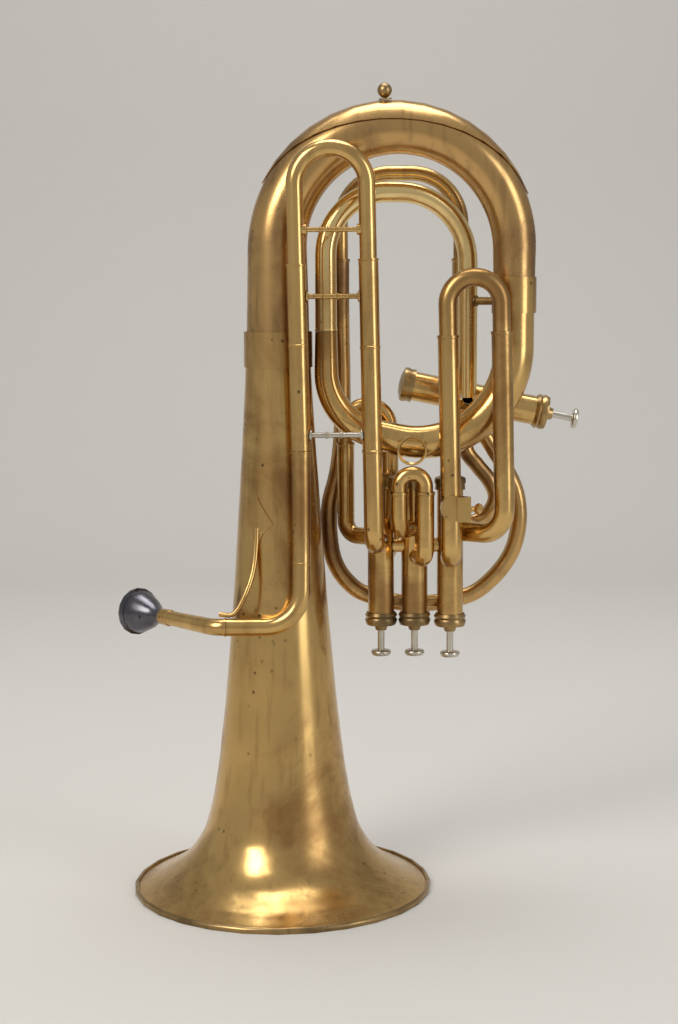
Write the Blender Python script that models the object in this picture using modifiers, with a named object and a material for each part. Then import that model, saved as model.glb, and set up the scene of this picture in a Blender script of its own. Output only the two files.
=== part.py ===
"""A four-valve tenor saxhorn standing on its bell, made as its separate tubes, slides and valves.

It is laid out round the bell's axis, X = Y = 0, with the floor at Z = 0 and the front facing -Y.
Lengths are in metres and angles in degrees. At the end the whole horn is centred over the origin.
"""
import math

import bmesh
import bpy
from mathutils import Matrix, Vector

# Clearance between pieces that touch, and how round the pieces are made.
GAP = 0.0003
SMALL_SIDES = 10
BOW_SIDES = 16
VALVE_SIDES = 16
BELL_SIDES = 28
BEND_STEP = 30

# Bell: outer radius at each height, from the bow end down to the rim, and its sheet.
BELL_WALL = 0.0007
BELL_TOP_Z = 0.4425
BELL_OUTLINE = (
    (BELL_TOP_Z, 0.0257), (0.3415, 0.0313), (0.2391, 0.0383), (0.1811, 0.0433), (0.1309, 0.0485),
    (0.0803, 0.0557), (0.0548, 0.0620), (0.0400, 0.0690), (0.0280, 0.0780), (0.0180, 0.0900),
    (0.0100, 0.1030), (0.0030, 0.1190),
)
RIM_R = 0.1225
RIM_HEIGHT = 0.0048
BELL_FERRULE_Z = (0.4287, 0.4570)

# Bell bow and its guard plate.
BOW_R = 0.09445
BOW_CENTRE_Z = 0.5223
BOW_TUBE_R = (0.0254, 0.0163)
BOW_END_Z = 0.4855
BOW_WALL = 0.0008
BOW_FERRULE_Z = (0.4708, 0.4994)
GUARD_MIDDLE = 88.0
GUARD_REACH = 66.0
GUARD_SPREAD = 74.0
GUARD_SHEET = 0.0007
KNOB_ANGLE = 94.0
KNOB_R = 0.0059

# Bottom bow: a conical U from the inner bow to the bell bow.
BOTTOM_LEFT_X = 0.0385
BOTTOM_TOP_Z = 0.4568
BOTTOM_CORNERS_Z = (0.3845, 0.3462)
BOTTOM_BENDS = (0.052, 0.075)
BOTTOM_TUBE_R = (0.0088, 0.0163)

# Inner bow: from the fourth valve up and over to the bottom bow.
INNER_TOP_Z = 0.5675
INNER_RIGHT_X = 0.1535
INNER_RIGHT_Y = 0.0245
INNER_BENDS = (0.050, 0.056)
INNER_TUBE_R = (0.0088, 0.0076)
TUBE_WALL = 0.0005

# Main tuning slide, in front of the bell.
TUNING_Y = -0.037
TUNING_LEAN = 0.018
TUNING_LEFT_X = 0.0157
TUNING_SPACING = 0.0563
TUNING_TOP_Z = 0.5990
TUNING_TUBE_R = 0.00675
TUNING_RECEIVER_TOP_Z = 0.5100
TUNING_RECEIVER_END_Z = 0.3645
TUNING_DEPTH = 0.090
TUNING_BRACE_Z = 0.5365
RECEIVER_BRACES_Z = (0.4850, 0.3765)

# Mouthpipe and mouthpiece.
MOUTHPIPE_Z = 0.2256
MOUTHPIPE_Y = -0.0480
MOUTHPIPE_BEND = 0.029
MOUTHPIPE_END_X = -0.0415
MOUTHPIECE_RIM = (-0.1204, 0.0300, MOUTHPIPE_Z)
MOUTHPIECE_TURN = 48.6
MOUTHPIECE_R = 0.0195
MOUTHPIECE_CUP_LENGTH = 0.0365
MOUTHPIECE_SHANK = 0.020
MOUTHPIPE_COLLAR = 0.0100

# Valves. The first three stand upright and the fourth slants behind the bottom bow.
VALVE_BASES = ((0.0820, 0.0, 0.2189), (0.1092, 0.0, 0.2189), (0.1381, 0.0, 0.2176))
FOURTH_BASE = (0.2191, 0.0305, 0.3886)
FOURTH_TILT = 11.7
CASING_R = 0.01065
FOURTH_CASING_R = 0.0119
CASING_WALL = 0.0007
CASING_SPAN = (0.0027, 0.1179)
CAP_REACH = 0.0102
DOME_HEIGHT = 0.1240
PISTON_SPAN = (0.0125, 0.0945)
SPRING_TOP = 0.1178
STEM_R = 0.00285
BUTTON_R = 0.0081
BUTTON_SPAN = (-0.0254, -0.0214)
PRESS = 0.0145
WINDWAY_R = 0.0046
KNUCKLE_R = 0.0060
KNUCKLE_Z = 0.284
STRUT_Z = 0.241

# Valve slides: tube radius, plane, places of the legs, tops and lower corners.
SLIDE_R = 0.0060
SLIDE_3_R = 0.0072
SLIDE_4_R = 0.0062
RECEIVER_WALL = 0.00036
SLIDE_1 = {"y": 0.0215, "left": 0.0538, "right": 0.0900, "top": 0.3967, "receiver": 0.3660,
           "depth": 0.044, "corners": (0.290, 0.276)}
SLIDE_2 = {"y": -0.030, "left": 0.0957, "right": 0.1168, "top": 0.3450, "receiver": 0.3305,
           "depth": 0.016, "corners": (0.2985, 0.2760)}
SLIDE_3 = {"y": -0.029, "left": 0.1345, "right": 0.1768, "top": 0.4995, "receiver": 0.4540,
           "depth": 0.055, "corners": (0.2760, 0.2960)}
SLIDE_3_LEAN = 0.0200
SLIDE_4 = {"y": 0.0445, "left": 0.0504, "right": 0.1492, "top": 0.5842, "receiver": 0.5150,
           "depth": 0.045}
SLIDE_4_BEND = 0.041
RING_R = 0.0108
RING_WIRE_R = 0.0013
LOOP_R = 0.0066
LINK_R = 0.0064

# Lyre holder on the third slide's left tube.
LYRE_Z = 0.3180
LYRE_X = 0.1466
LYRE_Y = -0.0425
LYRE_BOX = (0.0104, 0.0095, 0.0198)
LYRE_HOLE = 0.0056

BRASS = ((0.62, 0.43, 0.16), 0.28, 1.0)
DARK_BRASS = ((0.34, 0.22, 0.09), 0.38, 1.0)
SILVER = ((0.52, 0.50, 0.47), 0.30, 1.0)
TARNISHED = ((0.16, 0.16, 0.18), 0.30, 1.0)
STEEL = ((0.45, 0.45, 0.45), 0.35, 1.0)


def clear_scene():
    """Remove whatever the file held before."""
    for obj in list(bpy.data.objects):
        bpy.data.objects.remove(obj, do_unlink=True)


def collection(name):
    """Return a new collection under the scene."""
    group = bpy.data.collections.new(name)
    bpy.context.scene.collection.children.link(group)
    return group


clear_scene()
HORN = collection("saxhorn")
CUTTERS = collection("cutters")


def finish(obj, look):
    """Give a piece its own material and smooth shading."""
    colour, roughness, metallic = look
    material = bpy.data.materials.new(obj.name + "_finish")
    material.use_nodes = True
    shader = material.node_tree.nodes["Principled BSDF"]
    shader.inputs["Base Color"].default_value = (*colour, 1.0)
    shader.inputs["Roughness"].default_value = roughness
    shader.inputs["Metallic"].default_value = metallic
    obj.data.materials.clear()
    obj.data.materials.append(material)
    obj.data.shade_smooth()
    return obj


def as_cutter(obj):
    """Hide a solid that only cuts others."""
    obj.hide_render = True
    obj.display_type = "WIRE"
    return obj


def around(radius, sides):
    """Corner radius of a ring whose flats clear a round of this radius."""
    return (radius + GAP) / math.cos(math.pi / sides)


def along(points):
    """Distance of each point along a path from its start."""
    distances = [0.0]
    for before, after in zip(points, points[1:]):
        distances.append(distances[-1] + (after - before).length)
    return distances


def bent(corners, step=BEND_STEP):
    """Points of straight runs joined by round bends; each corner is (place, bend radius)."""
    places = [Vector(place) for place, _ in corners]
    points = [places[0]]
    for index in range(1, len(corners) - 1):
        corner = places[index]
        radius = corners[index][1]
        incoming = (corner - places[index - 1]).normalized()
        outgoing = (places[index + 1] - corner).normalized()
        turn = incoming.angle(outgoing)
        start = corner - incoming * radius * math.tan(turn / 2)
        side = (outgoing - incoming * outgoing.dot(incoming)).normalized()
        centre = start + side * radius
        count = max(2, math.ceil(math.degrees(turn) / step))
        for number in range(count + 1):
            angle = turn * number / count
            points.append(centre - side * radius * math.cos(angle) + incoming * radius * math.sin(angle))
    points.append(places[-1])
    kept = [points[0]]
    for point in points[1:]:
        if (point - kept[-1]).length > 0.0005:
            kept.append(point)
    return kept


def flowing(places, count):
    """Points of one smooth curve (Catmull-Rom) through the places."""
    places = [Vector(place) for place in places]
    before_first = places[0] * 2 - places[1]
    after_last = places[-1] * 2 - places[-2]
    padded = [before_first] + places + [after_last]
    points = []
    for index in range(1, len(padded) - 2):
        p0, p1, p2, p3 = padded[index - 1:index + 3]
        for number in range(count):
            t = number / count
            points.append(0.5 * (p1 * 2 + (p2 - p0) * t + (p0 * 2 - p1 * 5 + p2 * 4 - p3) * t * t
                                 + (p1 * 3 - p0 - p2 * 3 + p3) * t ** 3))
    points.append(places[-1])
    return points


def ringed(points, radius_at, collars=()):
    """Add raised collars to a path: each collar is (start, end, height). Returns points and radii."""
    distances = along(points)
    total = distances[-1]
    marks = {distance: radius_at(distance / total) for distance in distances}
    for start, end, height in collars:
        for distance, rise in ((start - height, 0), (start, height), (end, height), (end + height, 0)):
            if 0 <= distance <= total:
                marks[distance] = radius_at(distance / total) + rise
        marks = {d: r + (height if start < d < end else 0) for d, r in marks.items()}
        if start <= 0:
            marks[0.0] = radius_at(0) + height
    placed = []
    for distance in sorted(marks):
        index = max(i for i, d in enumerate(distances[:-1]) if d <= distance + 1e-9)
        share = (distance - distances[index]) / (distances[index + 1] - distances[index])
        placed.append((points[index].lerp(points[index + 1], share), marks[distance]))
    return [place for place, _ in placed], [radius for _, radius in placed]


def swept(name, points, radii, sides, capped, group):
    """Sweep a round section along points and return the result as a mesh object."""
    curve = bpy.data.curves.new(name, "CURVE")
    curve.dimensions = "3D"
    curve.bevel_depth = max(radii)
    curve.bevel_resolution = (sides - 4) // 2
    curve.use_fill_caps = capped
    spline = curve.splines.new("POLY")
    spline.points.add(len(points) - 1)
    for target, place, radius in zip(spline.points, points, radii):
        target.co = (*place, 1.0)
        target.radius = radius / curve.bevel_depth
    source = bpy.data.objects.new(name + "_path", curve)
    bpy.context.scene.collection.objects.link(source)
    graph = bpy.context.evaluated_depsgraph_get()
    mesh = bpy.data.meshes.new_from_object(source.evaluated_get(graph))
    bpy.data.objects.remove(source)
    form = bmesh.new()
    form.from_mesh(mesh)
    bmesh.ops.remove_doubles(form, verts=form.verts, dist=1e-6)
    bmesh.ops.recalc_face_normals(form, faces=form.faces)
    if not capped and sum(face.normal.dot(face.calc_center_median() - Vector(points[0]))
                          for face in form.faces[:sides]) < 0:
        bmesh.ops.reverse_faces(form, faces=form.faces)
    form.to_mesh(mesh)
    form.free()
    mesh.name = name
    obj = bpy.data.objects.new(name, mesh)
    group.objects.link(obj)
    return obj


def thicken(obj, wall):
    """Give an open sheet its wall, inwards."""
    shell = obj.modifiers.new("wall", "SOLIDIFY")
    shell.thickness = wall
    shell.offset = -1
    shell.use_even_offset = True
    return obj


def tube(name, points, radius, look=BRASS, wall=TUBE_WALL, sides=SMALL_SIDES, collars=()):
    """Make an open tube; radius is one outer radius, or a pair for an even taper."""
    ends = radius if isinstance(radius, tuple) else (radius, radius)
    points, radii = ringed(points, lambda share: ends[0] + (ends[1] - ends[0]) * share, collars)
    obj = thicken(swept(name, points, radii, sides, False, HORN), wall)
    return finish(obj, look)


def turned(name, profile, sides, group=HORN, closed=False, frame=None):
    """Spin a profile of (radius, height) points about the frame's Z; outer side first, downwards."""
    mesh = bpy.data.meshes.new(name)
    edges = [(i, i + 1) for i in range(len(profile) - 1)]
    if closed:
        edges.append((len(profile) - 1, 0))
    mesh.from_pydata([(radius, 0.0, height) for radius, height in profile], edges, [])
    obj = bpy.data.objects.new(name, mesh)
    group.objects.link(obj)
    spin = obj.modifiers.new("turn", "SCREW")
    spin.steps = sides
    spin.render_steps = sides
    spin.use_merge_vertices = True
    spin.merge_threshold = 1e-5
    if frame is not None:
        obj.matrix_world = frame
    return obj


def aimed(place, direction):
    """Frame at a place whose Z points along a direction."""
    return Matrix.Translation(place) @ Vector(direction).to_track_quat("Z", "Y").to_matrix().to_4x4()


def cylinder(name, start, end, radius, sides=SMALL_SIDES, group=CUTTERS):
    """A plain cylinder between two places."""
    start = Vector(start)
    end = Vector(end)
    mesh = bpy.data.meshes.new(name)
    form = bmesh.new()
    bmesh.ops.create_cone(form, cap_ends=True, segments=sides, radius1=radius, radius2=radius,
                          depth=(end - start).length)
    form.to_mesh(mesh)
    form.free()
    obj = bpy.data.objects.new(name, mesh)
    group.objects.link(obj)
    obj.matrix_world = aimed((start + end) / 2, end - start)
    return as_cutter(obj) if group is CUTTERS else obj


def combine(obj, other, operation="DIFFERENCE"):
    """Cut a piece by another solid, or join that solid to it."""
    step = obj.modifiers.new(other.name, "BOOLEAN")
    step.operation = operation
    step.object = other
    return obj


class Valve:
    """One piston valve: its frame has Z along the push, from the finger cap's face."""

    def __init__(self, number, base, push, casing_r):
        self.name = f"valve_{number}"
        self.casing_r = casing_r
        self.bore_r = casing_r - CASING_WALL
        self.frame = aimed(base, push)
        self.ports = {}
        self.empty = bpy.data.objects.new(self.name + "_axis", None)
        HORN.objects.link(self.empty)
        self.empty.matrix_world = self.frame
        seat_r = around(casing_r, VALVE_SIDES)
        self.seat = cylinder(self.name + "_seat", self.at(0), self.at(DOME_HEIGHT), seat_r, VALVE_SIDES)

    def at(self, level, azimuth=0.0, radius=0.0):
        """World place at a level, azimuth and distance from the valve's axis."""
        angle = math.radians(azimuth)
        return self.frame @ Vector((radius * math.cos(angle), radius * math.sin(angle), level))

    def port(self, key, corner, bore):
        """Note where a tube that comes from corner meets the valve; returns the place on the axis."""
        local = self.frame.inverted() @ Vector(corner)
        self.ports[key] = (math.degrees(math.atan2(local.y, local.x)), local.z, bore)
        return self.at(local.z)


def build_valves():
    """Place the four valve frames."""
    valves = [Valve(i + 1, base, (0, 0, 1), CASING_R) for i, base in enumerate(VALVE_BASES)]
    tilt = math.radians(FOURTH_TILT)
    valves.append(Valve(4, FOURTH_BASE, (-math.cos(tilt), 0, math.sin(tilt)), FOURTH_CASING_R))
    return valves


def windway(valve, key_in, key_out, drop):
    """Cutter for a curved passage between two ports, lowered by drop at rest."""
    azimuth_in, level_in, _ = valve.ports[key_in]
    azimuth_out, level_out, _ = valve.ports[key_out]
    reach = valve.bore_r * 1.3
    waist = valve.bore_r * 0.30
    stations = [valve.at(level_in - drop, azimuth_in, reach), valve.at(level_in - drop, azimuth_in, waist),
                valve.at(level_out - drop, azimuth_out, waist),
                valve.at(level_out - drop, azimuth_out, reach)]
    points = []
    for number in range(6):
        t = number / 5
        weights = ((1 - t) ** 3, 3 * t * (1 - t) ** 2, 3 * t * t * (1 - t), t ** 3)
        points.append(sum((place * weight for place, weight in zip(stations, weights)), Vector()))
    name = f"{valve.name}_way_{key_in}_{key_out}"
    return as_cutter(swept(name, points, [WINDWAY_R] * len(points), 8, True, CUTTERS))


def make_valve(valve):
    """Make a valve's casing, caps, ported piston, stem with button, and spring."""
    name = valve.name
    casing_r = valve.casing_r
    skirt = around(casing_r, VALVE_SIDES)
    low, high = CASING_SPAN
    casing = turned(name + "_casing", [(casing_r, high), (casing_r, low), (valve.bore_r, low),
                                       (valve.bore_r, high)], VALVE_SIDES, closed=True, frame=valve.frame)
    for key, (azimuth, level, bore) in valve.ports.items():
        if name == "valve_2" and key in ("in", "out"):
            continue
        hole = cylinder(f"{name}_{key}_hole", valve.at(level, azimuth, casing_r * 0.5),
                        valve.at(level, azimuth, casing_r * 1.6), bore, 10)
        combine(casing, hole)
    finish(casing, BRASS)
    cap = turned(name + "_finger_cap", [
        (casing_r + 0.0012, CAP_REACH), (casing_r + 0.0025, 0.0078), (casing_r + 0.0014, 0.0060),
        (casing_r + 0.0026, 0.0038), (casing_r + 0.0014, 0.0), (0.0058, 0.0), (0.0045, -0.0046),
        (STEM_R + GAP * 1.5, -0.0046), (STEM_R + GAP * 1.5, 0.0022), (skirt, 0.0022), (skirt, CAP_REACH)],
        VALVE_SIDES, closed=True, frame=valve.frame)
    finish(cap, DARK_BRASS)
    dome = turned(name + "_end_cap", [
        (0.0, DOME_HEIGHT), (0.0070, DOME_HEIGHT - 0.0006), (casing_r + 0.0018, 0.1210),
        (casing_r + 0.0023, 0.1180), (casing_r + 0.0013, 0.1155), (casing_r + 0.0018, 0.1118),
        (skirt, 0.1118), (skirt, high + GAP), (0.0, high + GAP)],
        VALVE_SIDES, frame=valve.frame)
    finish(dome, DARK_BRASS)
    piston_r = valve.bore_r - GAP
    bottom, top = PISTON_SPAN
    piston = turned(name + "_piston", [(0.0, top), (piston_r, top), (piston_r, bottom), (0.0, bottom)],
                    VALVE_SIDES, frame=valve.frame)
    for pair in (("in", "out", 0.0), ("in", "away", PRESS), ("back", "out", PRESS)):
        combine(piston, windway(valve, *pair))
    finish(piston, SILVER)
    stem = turned(name + "_stem", [
        (0.0, bottom - GAP), (STEM_R, bottom - GAP), (STEM_R, BUTTON_SPAN[1] + 0.0006),
        (BUTTON_R - 0.0007, BUTTON_SPAN[1]), (BUTTON_R, BUTTON_SPAN[1] - 0.0009),
        (BUTTON_R, BUTTON_SPAN[0] + 0.0014), (BUTTON_R - 0.0009, BUTTON_SPAN[0]), (0.0, BUTTON_SPAN[0])],
        12, frame=valve.frame)
    finish(stem, STEEL)
    turns = 4
    steps = 6
    spring_bottom = top + GAP + 0.0006
    rise = SPRING_TOP - GAP - 0.0006 - spring_bottom
    coil = [valve.at(spring_bottom + rise * i / (turns * steps), 360.0 * i / steps, 0.0065)
            for i in range(turns * steps + 1)]
    finish(swept(name + "_spring", coil, [0.00055] * len(coil), 4, True, HORN), STEEL)


def add_knuckles(valves):
    """Join the second casing to its neighbours by two air tubes and two thin struts."""
    first, second, third = valves[:3]
    casing = bpy.data.objects["valve_2_casing"]
    x_first = VALVE_BASES[0][0]
    x_second = VALVE_BASES[1][0]
    x_third = VALVE_BASES[2][0]
    bore = cylinder("valve_2_bore", second.at(CASING_SPAN[0] - 0.002), second.at(CASING_SPAN[1] + 0.002),
                    second.bore_r - GAP / 6, VALVE_SIDES)
    for side, x_end, neighbour in (("left", x_first, first), ("right", x_third, third)):
        begin = x_second + (x_end - x_second) * 0.15
        air = cylinder(f"knuckle_{side}", (begin, 0, KNUCKLE_Z), (x_end, 0, KNUCKLE_Z), KNUCKLE_R)
        strut = cylinder(f"strut_{side}", (begin, 0, STRUT_Z), (x_end, 0, STRUT_Z), 0.0017, 8)
        combine(casing, air, "UNION")
        combine(casing, strut, "UNION")
        combine(casing, neighbour.seat)
    combine(casing, bore)
    for side, x_end in (("left", x_first), ("right", x_third)):
        begin = x_second + (x_end - x_second) * 0.10
        way = cylinder(f"knuckle_{side}_way", (begin, 0, KNUCKLE_Z), (x_end, 0, KNUCKLE_Z), WINDWAY_R)
        combine(casing, way)


def make_bell():
    """Make the bell, its rim and the ferrule at its top."""
    bell = turned("bell", [(radius, height) for height, radius in BELL_OUTLINE], BELL_SIDES)
    finish(thicken(bell, BELL_WALL), BRASS)
    inner = BELL_OUTLINE[-1][1] + GAP
    rim = turned("bell_rim", [(inner, RIM_HEIGHT - 0.0006), (inner + 0.0012, RIM_HEIGHT),
                              (RIM_R - 0.0006, RIM_HEIGHT - 0.0008), (RIM_R, RIM_HEIGHT * 0.5),
                              (RIM_R - 0.0007, 0.0), (inner, 0.0)], BELL_SIDES, closed=True)
    finish(rim, DARK_BRASS)
    low, high = BELL_FERRULE_Z
    inside = around(BELL_OUTLINE[0][1] + 0.0008, BELL_SIDES)
    ferrule = turned("bell_ferrule", [(inside + 0.0005, high), (inside + 0.0007, low), (inside + 0.0002, low),
                                      (inside, high)], BELL_SIDES, closed=True)
    finish(ferrule, BRASS)


def bow_points():
    """Centre line of the bell bow."""
    start = (0, 0, BELL_TOP_Z + GAP)
    left = (0, 0, BOW_CENTRE_Z + BOW_R)
    right = (2 * BOW_R, 0, BOW_CENTRE_Z + BOW_R)
    end = (2 * BOW_R, 0, BOW_END_Z)
    return bent([(start, 0), (left, BOW_R), (right, BOW_R), (end, 0)], 18)


def bow_radius(angle):
    """Outer radius of the bell bow at an angle round its bend, counted from the right leg."""
    length = (BOW_CENTRE_Z - BELL_TOP_Z) + math.pi * BOW_R + (BOW_CENTRE_Z - BOW_END_Z)
    share = ((BOW_CENTRE_Z - BELL_TOP_Z) + math.radians(180 - angle) * BOW_R) / length
    return BOW_TUBE_R[0] + (BOW_TUBE_R[1] - BOW_TUBE_R[0]) * share


def make_guard():
    """Make the leaf-shaped plate that saddles the outer side of the bell bow."""
    rows = 14
    columns = 8
    row_slack = BOW_R * 1.25 * (1 / math.cos(math.radians(GUARD_REACH / rows)) - 1)
    form = bmesh.new()
    grid = []
    for row in range(rows + 1):
        offset = -1 + 2 * row / rows
        angle = GUARD_MIDDLE + offset * GUARD_REACH
        spread = max(GUARD_SPREAD * (1 - offset * offset), 5.0)
        radius = (bow_radius(angle) + GAP) / math.cos(math.radians(spread / columns)) + row_slack
        line = []
        for column in range(columns + 1):
            lean = math.radians(spread * (-1 + 2 * column / columns))
            reach = BOW_R + radius * math.cos(lean)
            turn = math.radians(angle)
            line.append(form.verts.new((BOW_R + reach * math.cos(turn), radius * math.sin(lean),
                                        BOW_CENTRE_Z + reach * math.sin(turn))))
        grid.append(line)
    for lower, upper in zip(grid, grid[1:]):
        for column in range(columns):
            form.faces.new((lower[column], lower[column + 1], upper[column + 1], upper[column]))
    bmesh.ops.recalc_face_normals(form, faces=form.faces)
    top = max(form.faces, key=lambda face: face.calc_center_median().z)
    if top.normal.z < 0:
        bmesh.ops.reverse_faces(form, faces=form.faces)
    mesh = bpy.data.meshes.new("bow_guard")
    form.to_mesh(mesh)
    form.free()
    obj = bpy.data.objects.new("bow_guard", mesh)
    HORN.objects.link(obj)
    sheet = obj.modifiers.new("sheet", "SOLIDIFY")
    sheet.thickness = GUARD_SHEET
    sheet.offset = 1
    finish(obj, BRASS)


def make_knob():
    """Make the turned rest knob that stands on the guard plate."""
    turn = math.radians(KNOB_ANGLE)
    out = Vector((math.cos(turn), 0, math.sin(turn)))
    foot = Vector((BOW_R, 0, BOW_CENTRE_Z)) + out * (BOW_R + bow_radius(KNOB_ANGLE) + GUARD_SHEET + GAP * 4)
    centre = 0.0072
    profile = []
    for step in range(7):
        angle = math.radians(90 - step * 24)
        profile.append((max(KNOB_R * math.cos(angle), 0.0), centre + KNOB_R * math.sin(angle)))
    profile += [(0.0018, 0.0014), (0.0052, 0.0009), (0.0052, 0.0), (0.0, 0.0)]
    finish(turned("rest_knob", profile, 16, frame=aimed(foot, out)), DARK_BRASS)


def bottom_points():
    """Centre line of the bottom bow, from its left end to the bell bow."""
    right = 2 * BOW_R
    return bent([((BOTTOM_LEFT_X, 0, BOTTOM_TOP_Z), 0),
                 ((BOTTOM_LEFT_X, 0, BOTTOM_CORNERS_Z[0]), BOTTOM_BENDS[0]),
                 ((right, 0, BOTTOM_CORNERS_Z[1]), BOTTOM_BENDS[1]),
                 ((right, 0, BOW_END_Z - GAP), 0)], 20)


def make_bows():
    """Make the bell bow with its ferrule, the bottom bow and the inner bow."""
    points, radii = ringed(bow_points(), lambda s: BOW_TUBE_R[0] + (BOW_TUBE_R[1] - BOW_TUBE_R[0]) * s)
    finish(thicken(swept("bell_bow", points, radii, BOW_SIDES, False, HORN), BOW_WALL), BRASS)
    inside = around(BOW_TUBE_R[1] + 0.0004, BOW_SIDES)
    low, high = BOW_FERRULE_Z
    ferrule = turned("bow_ferrule", [(inside + 0.0006, high), (inside + 0.0006, low), (inside, low),
                                     (inside, high)], BOW_SIDES, closed=True,
                     frame=Matrix.Translation((2 * BOW_R, 0, 0)))
    finish(ferrule, BRASS)
    small, large = BOTTOM_TUBE_R

    def flare(share):
        return small + (large - small) * math.sin(math.pi / 2 * share) ** 1.25

    points, radii = ringed(bottom_points(), flare)
    finish(thicken(swept("bottom_bow", points, radii, 12, False, HORN), BOW_WALL), BRASS)
    valve_top = VALVES[3].port("out", (INNER_RIGHT_X, INNER_RIGHT_Y, 0.4020), 0.0064)
    start = (BOTTOM_LEFT_X, 0, BOTTOM_TOP_Z + GAP)
    left = (BOTTOM_LEFT_X, 0.001, INNER_TOP_Z)
    right = (INNER_RIGHT_X, INNER_RIGHT_Y, INNER_TOP_Z)
    line = bent([(start, 0), (left, INNER_BENDS[0]), (right, INNER_BENDS[1]),
                 ((valve_top.x, INNER_RIGHT_Y, valve_top.z), 0)])
    inner = tube("inner_bow", line, INNER_TUBE_R, collars=((0.0, 0.0012, 0.0004),), wall=TUBE_WALL)
    combine(inner, VALVES[3].seat)
    brace("inner_bow_brace", (INNER_RIGHT_X, INNER_RIGHT_Y, 0.4804), (2 * BOW_R, 0, 0.4804), 0.0034, 0.0046,
          (INNER_TUBE_R[1] + 0.0002, inside + 0.0006), look=DARK_BRASS)


def brace(name, start, end, rod_r, foot_r, tubes, collars=(), look=BRASS, group=HORN):
    """Rod between two tubes, with a foot that hugs each; tubes gives the two outer radii."""
    start = Vector(start)
    end = Vector(end)
    length = (end - start).length
    foot = 0.0009
    low = tubes[0] + foot
    high = length - tubes[1] - foot
    profile = [(0.0, length), (foot_r, length), (foot_r, high), (rod_r, high - 0.0005)]
    for place in sorted(collars, reverse=True):
        profile += [(rod_r, place + 0.0011), (rod_r + 0.0007, place + 0.0006),
                    (rod_r + 0.0007, place - 0.0006), (rod_r, place - 0.0011)]
    profile += [(rod_r, low + 0.0005), (foot_r, low), (foot_r, 0.0), (0.0, 0.0)]
    obj = turned(name, profile, 10, group, frame=aimed(start, end - start))
    if group is CUTTERS:
        return as_cutter(obj)
    for side, centre, radius in (("start", start, tubes[0]), ("end", end, tubes[1])):
        low_place = centre - Vector((0, 0, 0.02))
        high_place = centre + Vector((0, 0, 0.02))
        combine(obj, cylinder(f"{name}_{side}", low_place, high_place, around(radius, 20) + GAP, 20))
    return finish(obj, look)


def receiver_radius(slide_r):
    """Outer radius of the tube that a slide leg of this radius runs in."""
    return around(slide_r, SMALL_SIDES) + RECEIVER_WALL


def tuning_x(side, height):
    """X of the left (0) or right (1) tuning leg at a height."""
    return TUNING_LEFT_X + side * TUNING_SPACING + TUNING_LEAN * (TUNING_RECEIVER_TOP_Z - height)


def make_tuning():
    """Make the main tuning slide, its outer tubes, its braces and the tube into valve 1."""
    y = TUNING_Y
    inside = TUNING_RECEIVER_TOP_Z - TUNING_DEPTH
    corners = [((tuning_x(0, inside), y, inside), 0),
               ((tuning_x(0, TUNING_TOP_Z), y, TUNING_TOP_Z), TUNING_SPACING / 2 - 0.0002),
               ((tuning_x(1, TUNING_TOP_Z), y, TUNING_TOP_Z), TUNING_SPACING / 2 - 0.0002),
               ((tuning_x(1, inside), y, inside), 0)]
    slide = tube("tuning_slide", bent(corners), TUNING_TUBE_R)
    left = (tuning_x(0, TUNING_BRACE_Z), y, TUNING_BRACE_Z)
    right = (tuning_x(1, TUNING_BRACE_Z), y, TUNING_BRACE_Z)
    rod = brace("tuning_slide_brace", left, right, 0.0019, 0.0045, (TUNING_TUBE_R, TUNING_TUBE_R),
                (0.0195, 0.032), group=CUTTERS)
    combine(slide, rod, "UNION")
    bore_r = (TUNING_TUBE_R - TUBE_WALL) * math.cos(math.pi / SMALL_SIDES) - 0.0001
    for side in (0, 1):
        ends = [(tuning_x(side, TUNING_BRACE_Z + rise), y, TUNING_BRACE_Z + rise) for rise in (-0.015, 0.015)]
        combine(slide, cylinder(f"tuning_slide_bore_{side}", *ends, bore_r, 20))
    outer = receiver_radius(TUNING_TUBE_R)
    top = TUNING_RECEIVER_TOP_Z
    end = TUNING_RECEIVER_END_Z
    tube("tuning_receiver_left", [Vector((tuning_x(0, top), y, top)), Vector((tuning_x(0, end), y, end))],
         outer, wall=RECEIVER_WALL, collars=((0.0, 0.0012, 0.0005), (0.0625, 0.0640, 0.0004)))
    corner = (tuning_x(1, 0.300), y, VALVE_BASES[0][2] + 0.0691)
    port = VALVES[0].port("in", corner, TUNING_TUBE_R - 0.0008)
    line = bent([((tuning_x(1, top + 0.004), y, top + 0.004), 0), ((tuning_x(1, 0.330), y, 0.330), 0.05),
                 (corner, 0.013), (port, 0)])
    right_tube = tube("tuning_receiver_right", line, outer, wall=RECEIVER_WALL,
                      collars=((0.0, 0.0012, 0.0005), (0.0680, 0.0695, 0.0004), (0.1498, 0.1510, 0.0005)))
    combine(right_tube, VALVES[0].seat)
    for key, height, look in (("upper", RECEIVER_BRACES_Z[0], BRASS), ("lower", RECEIVER_BRACES_Z[1], SILVER)):
        places = [(tuning_x(side, height), y, height) for side in (0, 1)]
        brace(f"tuning_brace_{key}", *places, 0.0021, 0.0048, (outer, outer), (0.021, 0.032), look=look)


def mouthpiece_axis():
    """Unit direction from the mouthpipe out through the mouthpiece."""
    turn = math.radians(MOUTHPIECE_TURN)
    return Vector((-math.cos(turn), math.sin(turn), 0))


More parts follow.
